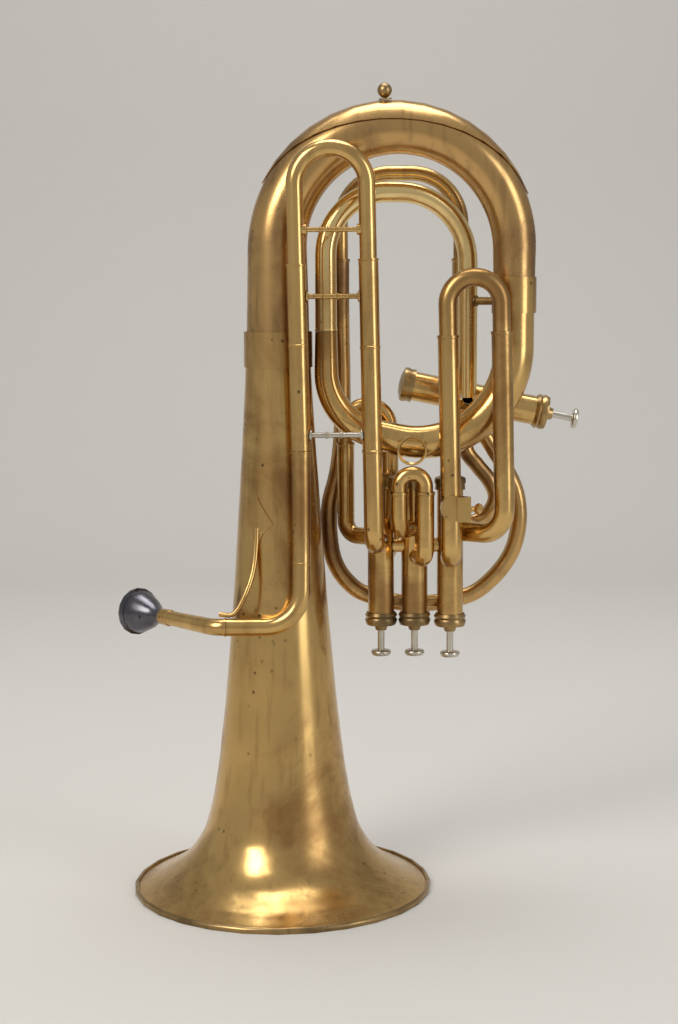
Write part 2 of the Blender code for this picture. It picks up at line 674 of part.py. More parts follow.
def make_mouthpipe():
    """Make the mouthpipe round the bell's front, its receiver, and the mouthpiece."""
    outer = receiver_radius(TUNING_TUBE_R)
    x = tuning_x(0, TUNING_RECEIVER_END_Z)
    start = (x, TUNING_Y, TUNING_RECEIVER_END_Z - GAP * 3)
    line = bent([(start, 0), ((x, TUNING_Y - 0.0040, 0.2850), 0.08),
                 ((x - 0.0006, MOUTHPIPE_Y + 0.0006, MOUTHPIPE_Z), MOUTHPIPE_BEND),
                 ((MOUTHPIPE_END_X, MOUTHPIPE_Y, MOUTHPIPE_Z), 0)], 24)
    tube("mouthpipe", line, (outer, 0.0071), collars=((0.0, 0.0012, 0.0005), (0.0880, 0.0890, 0.0003)))
    axis = mouthpiece_axis()
    rim = Vector(MOUTHPIECE_RIM)
    mouth = rim - axis * (MOUTHPIECE_CUP_LENGTH + GAP)
    reach = (mouth.y - MOUTHPIPE_Y) / axis.y
    corner = mouth - axis * reach
    begin = Vector((MOUTHPIPE_END_X - GAP, MOUTHPIPE_Y, MOUTHPIPE_Z))
    line = bent([(begin, 0), (corner, 0.020), (mouth, 0)], 24)
    total = along(line)[-1]
    tube("mouthpipe_receiver", line, (0.0069, 0.0059), collars=((0.0, 0.0014, 0.0005),
                                                             (total - MOUTHPIPE_COLLAR, total + 0.01, 0.0007)))
    shank = 0.0059 - TUBE_WALL - 0.0008
    cup = MOUTHPIECE_CUP_LENGTH
    end = -cup - MOUTHPIECE_SHANK
    profile = [(MOUTHPIECE_R - 0.0040, 0.0), (MOUTHPIECE_R - 0.0008, 0.0), (MOUTHPIECE_R, -0.0010),
               (MOUTHPIECE_R, -0.0026), (MOUTHPIECE_R - 0.0022, -0.0042), (MOUTHPIECE_R - 0.0020, -0.0075),
               (MOUTHPIECE_R - 0.0040, -0.0120), (0.0128, -0.0190), (0.0090, -0.0250), (0.0062, -0.0300),
               (0.0060, -cup), (shank, -cup), (shank - 0.0005, end), (shank - 0.0014, end),
               (0.0020, -0.0260), (0.0065, -0.0200), (0.0120, -0.0110), (0.0142, -0.0040)]
    finish(turned("mouthpiece", profile, VALVE_SIDES, closed=True, frame=aimed(rim, axis)), TARNISHED)


def bell_radius(height):
    """Outer radius of the bell at a height."""
    for (upper, narrow), (lower, wide) in zip(BELL_OUTLINE, BELL_OUTLINE[1:]):
        if lower <= height <= upper:
            return wide + (narrow - wide) * (height - lower) / (upper - lower)
    return BELL_OUTLINE[0][1]


def make_stay():
    """Make the pointed plate on the bell with the rod that runs down to the mouthpipe."""
    rows = ((0.3270, 1.5), (0.3165, 13.0), (0.3060, 26.0), (0.2980, 12.0), (0.2880, 5.0))
    form = bmesh.new()
    grid = []
    for height, spread in rows:
        line = []
        for column in range(5):
            turn = math.radians(-33.0 + spread * (-1 + column / 2))
            radius = bell_radius(height) + GAP
            line.append(form.verts.new((radius * math.sin(turn), -radius * math.cos(turn), height)))
        grid.append(line)
    for lower, upper in zip(grid, grid[1:]):
        for column in range(4):
            form.faces.new((lower[column], lower[column + 1], upper[column + 1], upper[column]))
    bmesh.ops.recalc_face_normals(form, faces=form.faces)
    if sum(face.normal.y for face in form.faces) > 0:
        bmesh.ops.reverse_faces(form, faces=form.faces)
    mesh = bpy.data.meshes.new("mouthpipe_stay")
    form.to_mesh(mesh)
    form.free()
    obj = bpy.data.objects.new("mouthpipe_stay", mesh)
    HORN.objects.link(obj)
    sheet = obj.modifiers.new("sheet", "SOLIDIFY")
    sheet.thickness = 0.0009
    sheet.offset = 1
    rod_r = 0.0021
    rest = MOUTHPIPE_Z + 0.0074 + rod_r + GAP
    places = [(-0.0176, -0.0300, 0.3020), (-0.0180, -0.0322, 0.2900), (-0.0200, -0.0370, 0.2700),
              (-0.0255, -0.0440, 0.2530), (-0.0350, MOUTHPIPE_Y, rest + 0.0012),
              (-0.0470, MOUTHPIPE_Y + 0.0012, rest + 0.0004)]
    points = flowing(places, 3)
    radii = [rod_r * (1.25 - 0.35 * i / (len(points) - 1)) for i in range(len(points))]
    rod = as_cutter(swept("mouthpipe_stay_rod", points, radii, 8, True, CUTTERS))
    combine(obj, rod, "UNION")
    bell_space = turned("bell_space", [(0.0, 0.36)] + [
        (bell_radius(height) + GAP * 1.5, height) for height in (0.36, 0.3415, 0.2391)] + [
        (0.0, 0.2391)], BELL_SIDES, group=CUTTERS)
    combine(obj, as_cutter(bell_space))
    finish(obj, BRASS)


def receiver(name, slide_r, points, collars, valve=None, look=BRASS):
    """Outer tube of a slide leg, cut to sit on a valve where it ends on one."""
    obj = tube(name, points, receiver_radius(slide_r), look, wall=RECEIVER_WALL, collars=collars)
    if valve is not None:
        combine(obj, valve.seat)
    return obj


def u_slide(name, plan, slide_r, lean=0.0, bend=None):
    """Inner U of a valve slide: two legs joined by a bow."""
    y = plan["y"]
    top = plan["top"]
    bottom = plan["receiver"] - plan["depth"]
    half = (plan["right"] - plan["left"]) / 2 - 0.0001
    bends = (bend or half, bend or half)

    def place(side, height):
        return (plan[side] + lean * (plan["receiver"] - height), y, height)

    return tube(name, bent([(place("left", bottom), 0), (place("left", top), bends[0]),
                            (place("right", top), bends[1]), (place("right", bottom), 0)]), slide_r)


RING_COLLAR = ((0.0, 0.0022, 0.0005),)


def make_slide_1():
    """First valve slide, behind the bottom bow."""
    plan = SLIDE_1
    y = plan["y"]
    u_slide("slide_1", plan, SLIDE_R)
    for side, key, height in (("left", "away", plan["corners"][0]), ("right", "back", plan["corners"][1])):
        corner = (plan[side], y, height)
        end = VALVES[0].port(key, corner, SLIDE_R - 0.0009)
        bend = 0.012 if side == "left" else 0.0085
        line = bent([((plan[side], y, plan["receiver"]), 0), (corner, bend), (end, 0)])
        receiver(f"slide_1_receiver_{side}", SLIDE_R, line, RING_COLLAR, VALVES[0])


def make_slide_2():
    """Second valve slide, a short U in front, with its pull ring."""
    plan = SLIDE_2
    y = plan["y"]
    u_slide("slide_2", plan, SLIDE_R)
    for side, key, height in (("left", "away", plan["corners"][0]), ("right", "back", plan["corners"][1])):
        corner = (plan[side], y, height)
        end = VALVES[1].port(key, corner, SLIDE_R - 0.0009)
        line = bent([((plan[side], y, plan["receiver"]), 0), (corner, 0.0115), (end, 0)])
        receiver(f"slide_2_receiver_{side}", SLIDE_R, line, RING_COLLAR, VALVES[1])
    centre = Vector(((plan["left"] + plan["right"]) / 2, y,
                     plan["top"] + SLIDE_R + RING_WIRE_R + RING_R + GAP))
    mesh = bpy.data.meshes.new("pull_ring")
    ring = bpy.data.objects.new("pull_ring", mesh)
    HORN.objects.link(ring)
    profile = [(RING_R + RING_WIRE_R * math.cos(a), RING_WIRE_R * math.sin(a))
               for a in (math.radians(45 - 60 * k) for k in range(6))]
    mesh.from_pydata([(r, 0, z) for r, z in profile], [(i, (i + 1) % 6) for i in range(6)], [])
    spin = ring.modifiers.new("turn", "SCREW")
    spin.steps = 20
    spin.render_steps = 20
    spin.use_merge_vertices = True
    spin.merge_threshold = 1e-5
    ring.matrix_world = aimed(centre, (0, -1, 0))
    finish(ring, BRASS)


def make_slide_3():
    """Third valve slide, the long U in front, leaning a little to the left."""
    plan = SLIDE_3
    y = plan["y"]
    lean = SLIDE_3_LEAN
    u_slide("slide_3", plan, SLIDE_3_R, lean)
    top = plan["receiver"]
    low_x = plan["left"] + lean * (top - 0.300)
    corner = (low_x, y, plan["corners"][0])
    end = VALVES[2].port("away", corner, SLIDE_3_R - 0.0009)
    line = bent([((plan["left"], y, top), 0), ((low_x, y, 0.300), 0.05), (corner, 0.0125), (end, 0)])
    receiver("slide_3_receiver_left", SLIDE_3_R, line, RING_COLLAR, VALVES[2])
    right_x = plan["right"] + lean * (top - 0.326)
    corner = (right_x, y, plan["corners"][1])
    end = VALVES[2].port("back", corner, SLIDE_3_R - 0.0009)
    line = bent([((plan["right"], y, top + 0.003), 0), ((right_x, y, 0.326), 0.04), (corner, 0.020), (end, 0)])
    receiver("slide_3_receiver_right", SLIDE_3_R, line, RING_COLLAR, VALVES[2])
    stay_z = 0.431
    start = (plan["right"] + lean * (top - stay_z), y, stay_z)
    brace("slide_3_stay", start, (2 * BOW_R, 0, stay_z), 0.0028, 0.0050,
          (receiver_radius(SLIDE_3_R), BOTTOM_TUBE_R[1]))


def make_slide_4():
    """Fourth valve slide at the back, its right tube, and the long loop behind the valves."""
    plan = SLIDE_4
    y = plan["y"]
    u_slide("slide_4", plan, SLIDE_4_R, bend=SLIDE_4_BEND)
    fourth = VALVES[3]
    axis = fourth.frame.to_3x3() @ Vector((0, 0, 1))
    right_x = plan["right"]
    lean = math.radians(50)
    level = (Vector((right_x, 0, 0)).x - FOURTH_BASE[0]) / axis.x
    hit = fourth.at(level)
    across = y - FOURTH_BASE[1]
    corner = (hit.x, y, hit.z + across / math.tan(lean))
    end = fourth.port("away", corner, SLIDE_4_R - 0.0009)
    line = bent([((right_x, y, plan["receiver"]), 0), (corner, 0.012), (end, 0)])
    receiver("slide_4_receiver_right", SLIDE_4_R, line, RING_COLLAR, fourth)
    loop_end = (0.1665, FOURTH_BASE[1], 0.3780)
    end = fourth.port("back", loop_end, SLIDE_4_R - 0.0009)
    places = [(plan["left"], y, plan["receiver"]), (0.0504, y, 0.465), (0.0512, 0.0440, 0.415),
              (0.0508, 0.0400, 0.372), (0.0470, 0.0370, 0.340), (0.0405, 0.0330, 0.314),
              (0.0400, 0.0310, 0.290), (0.0440, 0.0300, 0.267), (0.0550, 0.0290, 0.2495),
              (0.0720, 0.0280, 0.2385), (0.1100, 0.0270, 0.2310), (0.1510, 0.0280, 0.2365),
              (0.1725, 0.0290, 0.2495), (0.1895, 0.0300, 0.2710), (0.1965, 0.0305, 0.2960),
              (0.1950, 0.0305, 0.3210), (0.1860, 0.0305, 0.3425), (0.1750, 0.0305, 0.3600), loop_end,
              (end.x, end.y, end.z)]
    points = flowing(places, 1)
    outer = receiver_radius(SLIDE_4_R)
    obj = tube("slide_4_loop", points, (outer, LOOP_R), wall=RECEIVER_WALL, collars=RING_COLLAR)
    combine(obj, fourth.seat)
    start_corner = (VALVE_BASES[2][0] + 0.0110, 0.0190, 0.2980)
    third_end = VALVES[2].port("out", start_corner, LINK_R - 0.0009)
    link_end = (0.1505, FOURTH_BASE[1], 0.3850)
    fourth_end = fourth.port("in", link_end, LINK_R - 0.0009)
    places = [third_end, start_corner, (0.1640, 0.0245, 0.3010), (0.1735, 0.0250, 0.3100),
              (0.1770, 0.0260, 0.3210), (0.1720, 0.0270, 0.3335), (0.1620, 0.0285, 0.3460),
              (0.1530, 0.0300, 0.3590), link_end, fourth_end]
    link = tube("valve_link_tube", flowing(places, 2), LINK_R)
    combine(link, VALVES[2].seat)
    combine(link, fourth.seat)


def make_lyre_holder():
    """Make the square lyre socket on the third slide's left tube, and its thumbscrew."""
    width, depth, height = LYRE_BOX
    tube_x = SLIDE_3["left"] + SLIDE_3_LEAN * (SLIDE_3["receiver"] - LYRE_Z)
    mesh = bpy.data.meshes.new("lyre_holder")
    form = bmesh.new()
    bmesh.ops.create_cube(form, size=1.0)
    bmesh.ops.scale(form, vec=LYRE_BOX, verts=form.verts)
    form.to_mesh(mesh)
    form.free()
    obj = bpy.data.objects.new("lyre_holder", mesh)
    HORN.objects.link(obj)
    obj.location = (LYRE_X, LYRE_Y, LYRE_Z)
    front = SLIDE_3["y"] - receiver_radius(SLIDE_3_R)
    flange = cylinder("lyre_flange", (tube_x + 0.0015, front - 0.0016, LYRE_Z),
                      (tube_x + 0.0015, front + 0.0045, LYRE_Z), 0.0105, 16)
    combine(obj, flange, "UNION")
    leg = cylinder("lyre_leg_space", (tube_x + SLIDE_3_LEAN * 0.03, SLIDE_3["y"], LYRE_Z - 0.03),
                   (tube_x - SLIDE_3_LEAN * 0.03, SLIDE_3["y"], LYRE_Z + 0.03),
                   around(receiver_radius(SLIDE_3_R), 16) + GAP, 16)
    combine(obj, leg)
    mesh = bpy.data.meshes.new("lyre_socket")
    form = bmesh.new()
    bmesh.ops.create_cube(form, size=1.0)
    bmesh.ops.scale(form, vec=(LYRE_HOLE, LYRE_HOLE - 0.0010, height * 1.3), verts=form.verts)
    form.to_mesh(mesh)
    form.free()
    socket = bpy.data.objects.new("lyre_socket", mesh)
    CUTTERS.objects.link(socket)
    socket.location = (LYRE_X, LYRE_Y, LYRE_Z)
    combine(obj, as_cutter(socket))
    bore_r = 0.0019
    screw_start = (LYRE_X + LYRE_HOLE / 2 - 0.001, LYRE_Y, LYRE_Z)
    combine(obj, cylinder("lyre_screw_hole", screw_start, (LYRE_X + width, LYRE_Y, LYRE_Z), bore_r, 10))
    finish(obj, BRASS)
    base = width / 2 + GAP
    profile = [(0.0, base + 0.0095), (0.0034, base + 0.0088), (0.0052, base + 0.0060),
               (0.0034, base + 0.0033), (0.0018, base + 0.0024), (0.0026, base + 0.0010), (0.0026, base),
               (bore_r - GAP, base), (bore_r - GAP, LYRE_HOLE / 2 + GAP), (0.0, LYRE_HOLE / 2 + GAP)]
    screw = turned("lyre_screw", profile, 10, frame=aimed((LYRE_X, LYRE_Y, LYRE_Z), (1, 0, 0)))
    finish(screw, BRASS)


VALVES = build_valves()
VALVES[0].port("out", (VALVE_BASES[1][0], 0, KNUCKLE_Z), WINDWAY_R)
VALVES[1].port("in", (VALVE_BASES[0][0], 0, KNUCKLE_Z), WINDWAY_R)
VALVES[1].port("out", (VALVE_BASES[2][0], 0, KNUCKLE_Z), WINDWAY_R)
VALVES[2].port("in", (VALVE_BASES[1][0], 0, KNUCKLE_Z), WINDWAY_R)


def attach(empty_name, place, direction, names):
    """Parent pieces to an empty that stands on their joint's axis, leaving them where they are."""
    empty = bpy.data.objects.get(empty_name)
    if empty is None:
        empty = bpy.data.objects.new(empty_name, None)
        HORN.objects.link(empty)
        empty.matrix_world = aimed(place, direction)
    bpy.context.view_layer.update()
    for name in names:
        child = bpy.data.objects[name]
        child.parent = empty
        child.matrix_parent_inverse = empty.matrix_world.inverted()


def centre_over_origin():
    """Parent everything to one empty and move it so that the horn's box is centred on the origin."""
    bpy.context.view_layer.update()
    graph = bpy.context.evaluated_depsgraph_get()
    lows = Vector((1e9, 1e9, 1e9))
    highs = -lows
    for obj in HORN.objects:
        if obj.type != "MESH":
            continue
        body = obj.evaluated_get(graph)
        for vertex in body.data.vertices:
            place = body.matrix_world @ vertex.co
            lows = Vector(map(min, lows, place))
            highs = Vector(map(max, highs, place))
    shift = Vector((-(lows.x + highs.x) / 2, -(lows.y + highs.y) / 2, -lows.z))
    root = bpy.data.objects.new("saxhorn_root", None)
    HORN.objects.link(root)
    for obj in list(HORN.objects) + list(CUTTERS.objects):
        if obj.parent is None and obj is not root:
            obj.parent = root
    root.location = shift
    bpy.context.view_layer.update()
    return shift


make_bell()
make_bows()
make_guard()
make_knob()
make_tuning()
make_mouthpipe()
make_stay()
make_slide_1()
make_slide_2()
make_slide_3()
make_slide_4()
for one_valve in VALVES:
    make_valve(one_valve)
add_knuckles(VALVES)
make_lyre_holder()
for one_valve in VALVES:
    attach(one_valve.name + "_axis", None, None, [one_valve.name + "_piston", one_valve.name + "_stem"])
attach("tuning_slide_axis", (tuning_x(0, TUNING_RECEIVER_TOP_Z), TUNING_Y, TUNING_RECEIVER_TOP_Z),
       (-TUNING_LEAN, 0, 1), ["tuning_slide"])
attach("slide_1_axis", (SLIDE_1["left"], SLIDE_1["y"], SLIDE_1["receiver"]), (0, 0, 1), ["slide_1"])
attach("slide_2_axis", (SLIDE_2["left"], SLIDE_2["y"], SLIDE_2["receiver"]), (0, 0, 1),
       ["slide_2", "pull_ring"])
attach("slide_3_axis", (SLIDE_3["left"], SLIDE_3["y"], SLIDE_3["receiver"]), (-SLIDE_3_LEAN, 0, 1), ["slide_3"])
attach("slide_4_axis", (SLIDE_4["left"], SLIDE_4["y"], SLIDE_4["receiver"]), (0, 0, 1), ["slide_4"])
attach("mouthpiece_axis", MOUTHPIECE_RIM, mouthpiece_axis(), ["mouthpiece"])
attach("lyre_screw_axis", (LYRE_X, LYRE_Y, LYRE_Z), (1, 0, 0), ["lyre_screw"])
moved = centre_over_origin()
print("shift", [round(value, 6) for value in moved])
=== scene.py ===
# %% [markdown]
# A four-valve tenor saxhorn, standing on its bell, dressed for a photograph.
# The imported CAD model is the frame. Round tubes are swept again here with many sides, because most of the
# CAD's tubes have ten flat ones, and each smooth piece stands for the CAD node it is named after.

# %% Load the frame
import math

import bmesh
import bpy
from mathutils import Euler, Matrix, Vector


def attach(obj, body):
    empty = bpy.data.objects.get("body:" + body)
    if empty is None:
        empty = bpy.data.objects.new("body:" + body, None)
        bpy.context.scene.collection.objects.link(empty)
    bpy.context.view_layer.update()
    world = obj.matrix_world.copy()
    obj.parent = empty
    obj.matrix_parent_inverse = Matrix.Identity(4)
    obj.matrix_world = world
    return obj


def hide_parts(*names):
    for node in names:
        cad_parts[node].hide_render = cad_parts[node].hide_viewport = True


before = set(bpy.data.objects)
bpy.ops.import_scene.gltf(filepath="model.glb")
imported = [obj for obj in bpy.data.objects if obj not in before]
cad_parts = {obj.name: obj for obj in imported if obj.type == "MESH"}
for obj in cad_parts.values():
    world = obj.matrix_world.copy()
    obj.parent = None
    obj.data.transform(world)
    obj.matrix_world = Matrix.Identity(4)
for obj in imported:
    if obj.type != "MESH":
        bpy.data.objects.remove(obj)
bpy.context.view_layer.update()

# %% [markdown]
# The tube table below gives each tube's corners in the bell's own coordinates, in metres: x, y, z and the
# radius of the bend at that corner. SHIFT moves the bell's axis to its place in the frame.
# A "round" path has straight runs with round bends, and a "flow" path is one smooth curve.
# The third entry is the outer radius at both ends, and the fourth lists raised collars.

# %% Tube paths
SHIFT = Vector((-0.055503, 0.0, 0.0))
TUBES = (
    ("inner_bow", "round", (0.0088, 0.0076), ((0.0, 0.0012, 0.0004),), (
        (0.0385, 0, 0.4571, 0), (0.0385, 0.001, 0.5675, 0.05), (0.1535, 0.0245, 0.5675, 0.056),
        (0.15354, 0.0245, 0.40218, 0),)),
    ("tuning_slide", "round", (0.00675, 0.00675), (), (
        (0.01732, -0.037, 0.42, 0), (0.0141, -0.037, 0.599, 0.02795), (0.0704, -0.037, 0.599, 0.02795),
        (0.07362, -0.037, 0.42, 0),)),
    ("tuning_receiver_left", "round", (0.00777, 0.00777), ((0.0, 0.0012, 0.0005), (0.0625, 0.064, 0.0004)), (
        (0.0157, -0.037, 0.51, 0.0), (0.01832, -0.037, 0.3645, 0.0),)),
    ("tuning_receiver_right", "round", (0.00777, 0.00777),
     ((0.0, 0.0012, 0.0005), (0.068, 0.0695, 0.0004), (0.1498, 0.151, 0.0005)), (
        (0.07193, -0.037, 0.514, 0), (0.07524, -0.037, 0.33, 0.05), (0.07578, -0.037, 0.288, 0.013),
        (0.082, 0.0, 0.288, 0),)),
    ("mouthpipe", "round", (0.00777, 0.0071), ((0.0, 0.0012, 0.0005), (0.088, 0.089, 0.0003)), (
        (0.01832, -0.037, 0.3636, 0), (0.01832, -0.041, 0.285, 0.08),
        (0.01772, -0.0474, 0.2256, 0.029), (-0.0415, -0.048, 0.2256, 0),)),
    ("mouthpipe_receiver", "round", (0.0069, 0.0059), ((0.0, 0.0014, 0.0005), (0.06579, 0.08579, 0.0007)), (
        (-0.0418, -0.048, 0.2256, 0), (-0.05163, -0.048, 0.2256, 0.02), (-0.09606, 0.0024, 0.2256, 0),)),
    ("slide_1", "round", (0.006, 0.006), (), (
        (0.0538, 0.0215, 0.322, 0), (0.0538, 0.0215, 0.3967, 0.018), (0.09, 0.0215, 0.3967, 0.018),
        (0.09, 0.0215, 0.322, 0),)),
    ("slide_1_receiver_left", "round", (0.00698, 0.00698), ((0.0, 0.0022, 0.0005),), (
        (0.0538, 0.0215, 0.366, 0), (0.0538, 0.0215, 0.29, 0.012), (0.082, 0.0, 0.29, 0),)),
    ("slide_1_receiver_right", "round", (0.00698, 0.00698), ((0.0, 0.0022, 0.0005),), (
        (0.09, 0.0215, 0.366, 0), (0.09, 0.0215, 0.276, 0.0085), (0.082, 0.0, 0.276, 0),)),
    ("slide_2", "round", (0.006, 0.006), (), (
        (0.0957, -0.03, 0.3145, 0), (0.0957, -0.03, 0.345, 0.01045), (0.1168, -0.03, 0.345, 0.01045),
        (0.1168, -0.03, 0.3145, 0),)),
    ("slide_2_receiver_left", "round", (0.00698, 0.00698), ((0.0, 0.0022, 0.0005),), (
        (0.0957, -0.03, 0.3305, 0), (0.0957, -0.03, 0.2985, 0.0115), (0.1092, 0.0, 0.2985, 0),)),
    ("slide_2_receiver_right", "round", (0.00698, 0.00698), ((0.0, 0.0022, 0.0005),), (
        (0.1168, -0.03, 0.3305, 0), (0.1168, -0.03, 0.276, 0.0115), (0.1092, 0.0, 0.276, 0),)),
    ("slide_3", "round", (0.0072, 0.0072), (), (
        (0.1356, -0.029, 0.399, 0), (0.13359, -0.029, 0.4995, 0.02105),
        (0.17589, -0.029, 0.4995, 0.02105), (0.1779, -0.029, 0.399, 0),)),
    ("slide_3_receiver_left", "round", (0.00825, 0.00825), ((0.0, 0.0022, 0.0005),), (
        (0.1345, -0.029, 0.454, 0), (0.13758, -0.029, 0.3, 0.05), (0.13758, -0.029, 0.276, 0.0125),
        (0.1381, 0.0, 0.276, 0),)),
    ("slide_3_receiver_right", "round", (0.00825, 0.00825), ((0.0, 0.0022, 0.0005),), (
        (0.1768, -0.029, 0.457, 0), (0.17936, -0.029, 0.326, 0.04), (0.17936, -0.029, 0.296, 0.02),
        (0.1381, 0.0, 0.296, 0),)),
    ("slide_4", "round", (0.0062, 0.0062), (), (
        (0.0504, 0.0445, 0.47, 0), (0.0504, 0.0445, 0.5842, 0.041), (0.1492, 0.0445, 0.5842, 0.041),
        (0.1492, 0.0445, 0.47, 0),)),
    ("slide_4_receiver_right", "round", (0.00719, 0.00719), ((0.0, 0.0022, 0.0005),), (
        (0.1492, 0.0445, 0.515, 0), (0.1492, 0.0445, 0.41482, 0.012), (0.14687, 0.0305, 0.40356, 0),)),
    ("slide_4_loop", "flow", (0.00719, 0.0066), ((0.0, 0.0022, 0.0005),), (
        (0.0504, 0.0445, 0.515, 0.0), (0.0504, 0.0445, 0.465, 0.0), (0.0512, 0.044, 0.415, 0.0),
        (0.0508, 0.04, 0.372, 0.0), (0.047, 0.037, 0.34, 0.0), (0.0405, 0.033, 0.314, 0.0),
        (0.04, 0.031, 0.29, 0.0), (0.044, 0.03, 0.267, 0.0), (0.055, 0.029, 0.2495, 0.0),
        (0.072, 0.028, 0.2385, 0.0), (0.11, 0.027, 0.231, 0.0), (0.151, 0.028, 0.2365, 0.0),
        (0.1725, 0.029, 0.2495, 0.0), (0.1895, 0.03, 0.271, 0.0), (0.1965, 0.0305, 0.296, 0.0),
        (0.195, 0.0305, 0.321, 0.0), (0.186, 0.0305, 0.3425, 0.0), (0.175, 0.0305, 0.36, 0.0),
        (0.1665, 0.0305, 0.378, 0.0), (0.17077, 0.0305, 0.39861, 0.0),)),
    ("valve_link_tube", "flow", (0.0064, 0.0064), (), (
        (0.1381, 0.0, 0.298, 0.0), (0.1491, 0.019, 0.298, 0.0), (0.164, 0.0245, 0.301, 0.0),
        (0.1735, 0.025, 0.31, 0.0), (0.177, 0.026, 0.321, 0.0), (0.172, 0.027, 0.3335, 0.0),
        (0.162, 0.0285, 0.346, 0.0), (0.153, 0.03, 0.359, 0.0), (0.1505, 0.0305, 0.385, 0.0),
        (0.15404, 0.0305, 0.40207, 0.0),)),
)
print("tubes", len(TUBES))

# %% [markdown]
# bent() turns corners into points: each corner becomes an arc that leaves both straight runs smoothly.
# flowing() draws one Catmull-Rom curve through its places.

# %% Path helpers


def bent(corners, step=6.0):
    """Points of straight runs joined by round bends."""
    places = [Vector(corner[:3]) for corner in corners]
    points = [places[0]]
    for index in range(1, len(corners) - 1):
        corner = places[index]
        radius = corners[index][3]
        incoming = (corner - places[index - 1]).normalized()
        outgoing = (places[index + 1] - corner).normalized()
        turn = incoming.angle(outgoing)
        start = corner - incoming * radius * math.tan(turn / 2)
        side = (outgoing - incoming * outgoing.dot(incoming)).normalized()
        centre = start + side * radius
        count = max(2, math.ceil(math.degrees(turn) / step))
        for number in range(count + 1):
            angle = turn * number / count
            points.append(centre - side * radius * math.cos(angle) + incoming * radius * math.sin(angle))
    points.append(places[-1])
    kept = [points[0]]
    for point in points[1:]:
        if (point - kept[-1]).length > 0.0003:
            kept.append(point)
    return kept


def flowing(places, count=8):
    """Points of one smooth curve through the places."""
    places = [Vector(place[:3]) for place in places]
    padded = [places[0] * 2 - places[1]] + places + [places[-1] * 2 - places[-2]]
    points = []
    for index in range(1, len(padded) - 2):
        p0, p1, p2, p3 = padded[index - 1:index + 3]
        for number in range(count):
            t = number / count
            points.append(0.5 * (p1 * 2 + (p2 - p0) * t + (p0 * 2 - p1 * 5 + p2 * 4 - p3) * t * t
                                 + (p1 * 3 - p0 - p2 * 3 + p3) * t ** 3))
    points.append(places[-1])
    return points


def ringed(points, radius_at, collars=()):
    """Give each point of a path its radius, and add the raised collars."""
    distances = [0.0]
    for first, second in zip(points, points[1:]):
        distances.append(distances[-1] + (second - first).length)
    total = distances[-1]
    marks = {distance: radius_at(distance / total) for distance in distances}
    for start, end, height in collars:
        marks = {d: r + (height if start < d < end else 0) for d, r in marks.items()}
        for distance, rise in ((start - height, 0), (start, height), (end, height), (end + height, 0)):
            if 0 <= distance <= total:
                marks[distance] = radius_at(distance / total) + rise
        if start <= 0:
            marks[0.0] = radius_at(0) + height
    placed = []
    for distance in sorted(marks):
        index = max(i for i, d in enumerate(distances[:-1]) if d <= distance + 1e-9)
        share = (distance - distances[index]) / (distances[index + 1] - distances[index])
        placed.append((points[index].lerp(points[index + 1], share), marks[distance]))
    return placed


def mesh_from(obj):
    """Evaluate an object's modifiers or curve into one welded mesh."""
    graph = bpy.context.evaluated_depsgraph_get()
    mesh = bpy.data.meshes.new_from_object(obj.evaluated_get(graph))
    form = bmesh.new()
    form.from_mesh(mesh)
    bmesh.ops.remove_doubles(form, verts=form.verts, dist=1e-6)
    form.to_mesh(mesh)
    form.free()
    return mesh


def sweep(name, placed, sides):
    """Sweep a round section along placed points; gives an open skin that faces outwards."""
    curve = bpy.data.curves.new(name, "CURVE")
    curve.dimensions = "3D"
    curve.bevel_depth = max(radius for _, radius in placed)
    curve.bevel_resolution = (sides - 4) // 2
    spline = curve.splines.new("POLY")
    spline.points.add(len(placed) - 1)
    for target, (place, radius) in zip(spline.points, placed):
        target.co = (*(place + SHIFT), 1.0)
        target.radius = radius / curve.bevel_depth
    source = bpy.data.objects.new(name + "_path", curve)
    bpy.context.scene.collection.objects.link(source)
    mesh = mesh_from(source)
    bpy.data.objects.remove(source)
    form = bmesh.new()
    form.from_mesh(mesh)
    bmesh.ops.recalc_face_normals(form, faces=form.faces)
    start = placed[0][0] + SHIFT
    if sum(face.normal.dot(face.calc_center_median() - start) for face in list(form.faces)[:sides]) < 0:
        bmesh.ops.reverse_faces(form, faces=form.faces)
    form.to_mesh(mesh)
    form.free()
    obj = bpy.data.objects.new(name, mesh)
    bpy.context.scene.collection.objects.link(obj)
    return obj


def spin(name, profile, steps, closed=False):
    """Turn a profile of (radius, height) points about the world Z and bake it."""
    mesh = bpy.data.meshes.new(name)
    edges = [(i, i + 1) for i in range(len(profile) - 1)]
    if closed:
        edges.append((len(profile) - 1, 0))
    mesh.from_pydata([(radius, 0.0, height) for radius, height in profile], edges, [])
    obj = bpy.data.objects.new(name, mesh)
    bpy.context.scene.collection.objects.link(obj)
    turn = obj.modifiers.new("turn", "SCREW")
    turn.steps = steps
    turn.render_steps = steps
    turn.use_merge_vertices = True
    turn.merge_threshold = 1e-5
    baked = mesh_from(obj)
    obj.modifiers.clear()
    obj.data = baked
    return obj


def bake(obj):
    """Turn an object's live modifiers into its mesh."""
    mesh = mesh_from(obj)
    obj.modifiers.clear()
    obj.data = mesh
    return obj


def walled(obj, wall):
    """Give an open skin its wall, inwards."""
    shell = obj.modifiers.new("wall", "SOLIDIFY")
    shell.thickness = wall
    shell.offset = -1
    shell.use_even_offset = True
    return bake(obj)


def smooth(obj, angle=35):
    """Shade smoothly, with sharp edges kept."""
    obj.data.shade_smooth()
    obj.data.set_sharp_from_angle(angle=math.radians(angle))
    return obj


# %% [markdown]
# Brass that has been handled for a century isn't one colour. A shared node group makes three masks from
# noise in Object coordinates: broad clouds of brown patina, fine streaks along the tubes, and small dark
# spots. Each material mixes its own colours by them.

